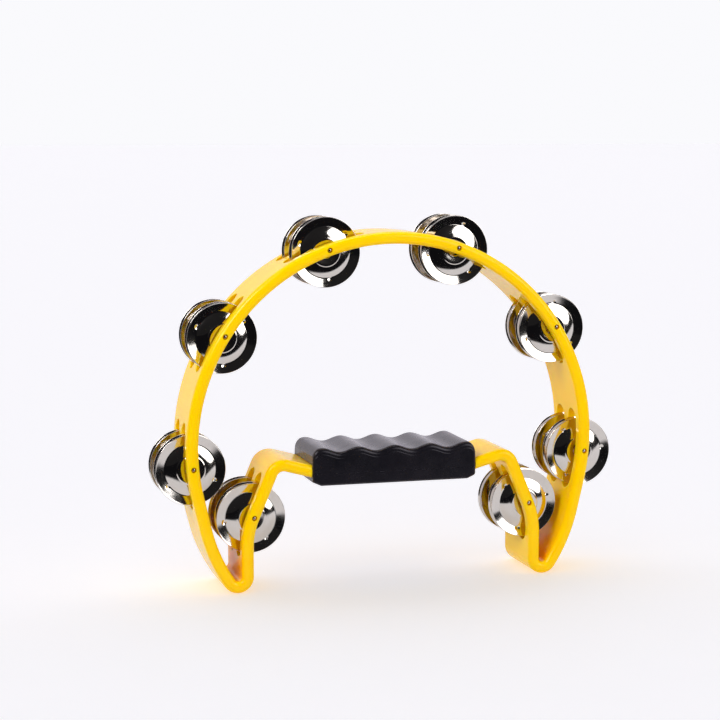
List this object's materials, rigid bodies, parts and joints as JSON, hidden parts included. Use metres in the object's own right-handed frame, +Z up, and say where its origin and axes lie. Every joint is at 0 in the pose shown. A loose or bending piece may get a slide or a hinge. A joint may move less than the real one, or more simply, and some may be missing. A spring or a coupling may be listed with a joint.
{
  "type": "half-moon tambourine",
  "caption": "Hand-held half-moon tambourine: a curved moulded band with pairs of metal jingles on cross pins, and a straight handle with a waved grip between two feet.",
  "frame": {"origin": "on the ground midway between the two feet, at mid-depth", "axes": "+X along the handle, +Y from the front face to the rear face, +Z up"},
  "size_m": [0.2756, 0.0458, 0.213],
  "materials": {
    "frame_yellow": "glossy moulded ABS, warm yellow",
    "grip_black": "satin moulded plastic, black",
    "screw_steel": "dark zinc-plated steel",
    "pin_steel": "plain bright steel wire",
    "jingle_nickel": "polished nickel-plated steel sheet"
  },
  "bodies": {
    "body": {"frame": "frame_yellow", "grip_upper": "grip_black", "grip_lower": "grip_black", "grip_screw_left": "screw_steel", "grip_screw_right": "screw_steel", "pin_1": "pin_steel", "pin_2": "pin_steel", "pin_3": "pin_steel", "pin_4": "pin_steel", "pin_5": "pin_steel", "pin_6": "pin_steel", "pin_7": "pin_steel", "pin_8": "pin_steel"},
    "jingle_1_front_a": {"jingle_1_front_a": "jingle_nickel"},
    "jingle_1_front_b": {"jingle_1_front_b": "jingle_nickel"},
    "jingle_1_rear_a": {"jingle_1_rear_a": "jingle_nickel"},
    "jingle_1_rear_b": {"jingle_1_rear_b": "jingle_nickel"},
    "jingle_2_front_a": {"jingle_2_front_a": "jingle_nickel"},
    "jingle_2_front_b": {"jingle_2_front_b": "jingle_nickel"},
    "jingle_2_rear_a": {"jingle_2_rear_a": "jingle_nickel"},
    "jingle_2_rear_b": {"jingle_2_rear_b": "jingle_nickel"},
    "jingle_3_front_a": {"jingle_3_front_a": "jingle_nickel"},
    "jingle_3_front_b": {"jingle_3_front_b": "jingle_nickel"},
    "jingle_3_rear_a": {"jingle_3_rear_a": "jingle_nickel"},
    "jingle_3_rear_b": {"jingle_3_rear_b": "jingle_nickel"},
    "jingle_4_front_a": {"jingle_4_front_a": "jingle_nickel"},
    "jingle_4_front_b": {"jingle_4_front_b": "jingle_nickel"},
    "jingle_4_rear_a": {"jingle_4_rear_a": "jingle_nickel"},
    "jingle_4_rear_b": {"jingle_4_rear_b": "jingle_nickel"},
    "jingle_5_front_a": {"jingle_5_front_a": "jingle_nickel"},
    "jingle_5_front_b": {"jingle_5_front_b": "jingle_nickel"},
    "jingle_5_rear_a": {"jingle_5_rear_a": "jingle_nickel"},
    "jingle_5_rear_b": {"jingle_5_rear_b": "jingle_nickel"},
    "jingle_6_front_a": {"jingle_6_front_a": "jingle_nickel"},
    "jingle_6_front_b": {"jingle_6_front_b": "jingle_nickel"},
    "jingle_6_rear_a": {"jingle_6_rear_a": "jingle_nickel"},
    "jingle_6_rear_b": {"jingle_6_rear_b": "jingle_nickel"},
    "jingle_7_front_a": {"jingle_7_front_a": "jingle_nickel"},
    "jingle_7_front_b": {"jingle_7_front_b": "jingle_nickel"},
    "jingle_7_rear_a": {"jingle_7_rear_a": "jingle_nickel"},
    "jingle_7_rear_b": {"jingle_7_rear_b": "jingle_nickel"},
    "jingle_8_front_a": {"jingle_8_front_a": "jingle_nickel"},
    "jingle_8_front_b": {"jingle_8_front_b": "jingle_nickel"},
    "jingle_8_rear_a": {"jingle_8_rear_a": "jingle_nickel"},
    "jingle_8_rear_b": {"jingle_8_rear_b": "jingle_nickel"}
  },
  "joints": [
    {"name": "slide_1_front_a", "type": "slide", "parent": "body", "child": "jingle_1_front_a", "axis": [0, 1, 0], "range_m": [-0.0016, 0.0012]},
    {"name": "slide_1_front_b", "type": "slide", "parent": "body", "child": "jingle_1_front_b", "axis": [0, 1, 0], "range_m": [-0.0012, 0.001]},
    {"name": "slide_1_rear_a", "type": "slide", "parent": "body", "child": "jingle_1_rear_a", "axis": [0, 1, 0], "range_m": [-0.0015, 0.0012]},
    {"name": "slide_1_rear_b", "type": "slide", "parent": "body", "child": "jingle_1_rear_b", "axis": [0, 1, 0], "range_m": [-0.0012, 0.0011]},
    {"name": "slide_2_front_a", "type": "slide", "parent": "body", "child": "jingle_2_front_a", "axis": [0, 1, 0], "range_m": [-0.0018, 0.0012]},
    {"name": "slide_2_front_b", "type": "slide", "parent": "body", "child": "jingle_2_front_b", "axis": [0, 1, 0], "range_m": [-0.0012, 0.0008]},
    {"name": "slide_2_rear_a", "type": "slide", "parent": "body", "child": "jingle_2_rear_a", "axis": [0, 1, 0], "range_m": [-0.0015, 0.0012]},
    {"name": "slide_2_rear_b", "type": "slide", "parent": "body", "child": "jingle_2_rear_b", "axis": [0, 1, 0], "range_m": [-0.0012, 0.0011]},
    {"name": "slide_3_front_a", "type": "slide", "parent": "body", "child": "jingle_3_front_a", "axis": [0, 1, 0], "range_m": [-0.0011, 0.0012]},
    {"name": "slide_3_front_b", "type": "slide", "parent": "body", "child": "jingle_3_front_b", "axis": [0, 1, 0], "range_m": [-0.0012, 0.0015]},
    {"name": "slide_3_rear_a", "type": "slide", "parent": "body", "child": "jingle_3_rear_a", "axis": [0, 1, 0], "range_m": [-0.0017, 0.0012]},
    {"name": "slide_3_rear_b", "type": "slide", "parent": "body", "child": "jingle_3_rear_b", "axis": [0, 1, 0], "range_m": [-0.0012, 0.0009]},
    {"name": "slide_4_front_a", "type": "slide", "parent": "body", "child": "jingle_4_front_a", "axis": [0, 1, 0], "range_m": [-0.0014, 0.0012]},
    {"name": "slide_4_front_b", "type": "slide", "parent": "body", "child": "jingle_4_front_b", "axis": [0, 1, 0], "range_m": [-0.0012, 0.0012]},
    {"name": "slide_4_rear_a", "type": "slide", "parent": "body", "child": "jingle_4_rear_a", "axis": [0, 1, 0], "range_m": [-0.001, 0.0012]},
    {"name": "slide_4_rear_b", "type": "slide", "parent": "body", "child": "jingle_4_rear_b", "axis": [0, 1, 0], "range_m": [-0.0012, 0.0016]},
    {"name": "slide_5_front_a", "type": "slide", "parent": "body", "child": "jingle_5_front_a", "axis": [0, 1, 0], "range_m": [-0.0007, 0.0012]},
    {"name": "slide_5_front_b", "type": "slide", "parent": "body", "child": "jingle_5_front_b", "axis": [0, 1, 0], "range_m": [-0.0012, 0.0019]},
    {"name": "slide_5_rear_a", "type": "slide", "parent": "body", "child": "jingle_5_rear_a", "axis": [0, 1, 0], "range_m": [-0.0008, 0.0012]},
    {"name": "slide_5_rear_b", "type": "slide", "parent": "body", "child": "jingle_5_rear_b", "axis": [0, 1, 0], "range_m": [-0.0012, 0.0018]},
    {"name": "slide_6_front_a", "type": "slide", "parent": "body", "child": "jingle_6_front_a", "axis": [0, 1, 0], "range_m": [-0.0009, 0.0012]},
    {"name": "slide_6_front_b", "type": "slide", "parent": "body", "child": "jingle_6_front_b", "axis": [0, 1, 0], "range_m": [-0.0012, 0.0017]},
    {"name": "slide_6_rear_a", "type": "slide", "parent": "body", "child": "jingle_6_rear_a", "axis": [0, 1, 0], "range_m": [-0.0005, 0.0012]},
    {"name": "slide_6_rear_b", "type": "slide", "parent": "body", "child": "jingle_6_rear_b", "axis": [0, 1, 0], "range_m": [-0.0012, 0.0021]},
    {"name": "slide_7_front_a", "type": "slide", "parent": "body", "child": "jingle_7_front_a", "axis": [0, 1, 0], "range_m": [-0.0023, 0.0012]},
    {"name": "slide_7_front_b", "type": "slide", "parent": "body", "child": "jingle_7_front_b", "axis": [0, 1, 0], "range_m": [-0.0012, 0.0003]},
    {"name": "slide_7_rear_a", "type": "slide", "parent": "body", "child": "jingle_7_rear_a", "axis": [0, 1, 0], "range_m": [-0.0024, 0.0012]},
    {"name": "slide_7_rear_b", "type": "slide", "parent": "body", "child": "jingle_7_rear_b", "axis": [0, 1, 0], "range_m": [-0.0012, 0.0002]},
    {"name": "slide_8_front_a", "type": "slide", "parent": "body", "child": "jingle_8_front_a", "axis": [0, 1, 0], "range_m": [-0.0015, 0.0012]},
    {"name": "slide_8_front_b", "type": "slide", "parent": "body", "child": "jingle_8_front_b", "axis": [0, 1, 0], "range_m": [-0.0012, 0.0011]},
    {"name": "slide_8_rear_a", "type": "slide", "parent": "body", "child": "jingle_8_rear_a", "axis": [0, 1, 0], "range_m": [-0.0019, 0.0012]},
    {"name": "slide_8_rear_b", "type": "slide", "parent": "body", "child": "jingle_8_rear_b", "axis": [0, 1, 0], "range_m": [-0.0012, 0.0007]}
  ]
}
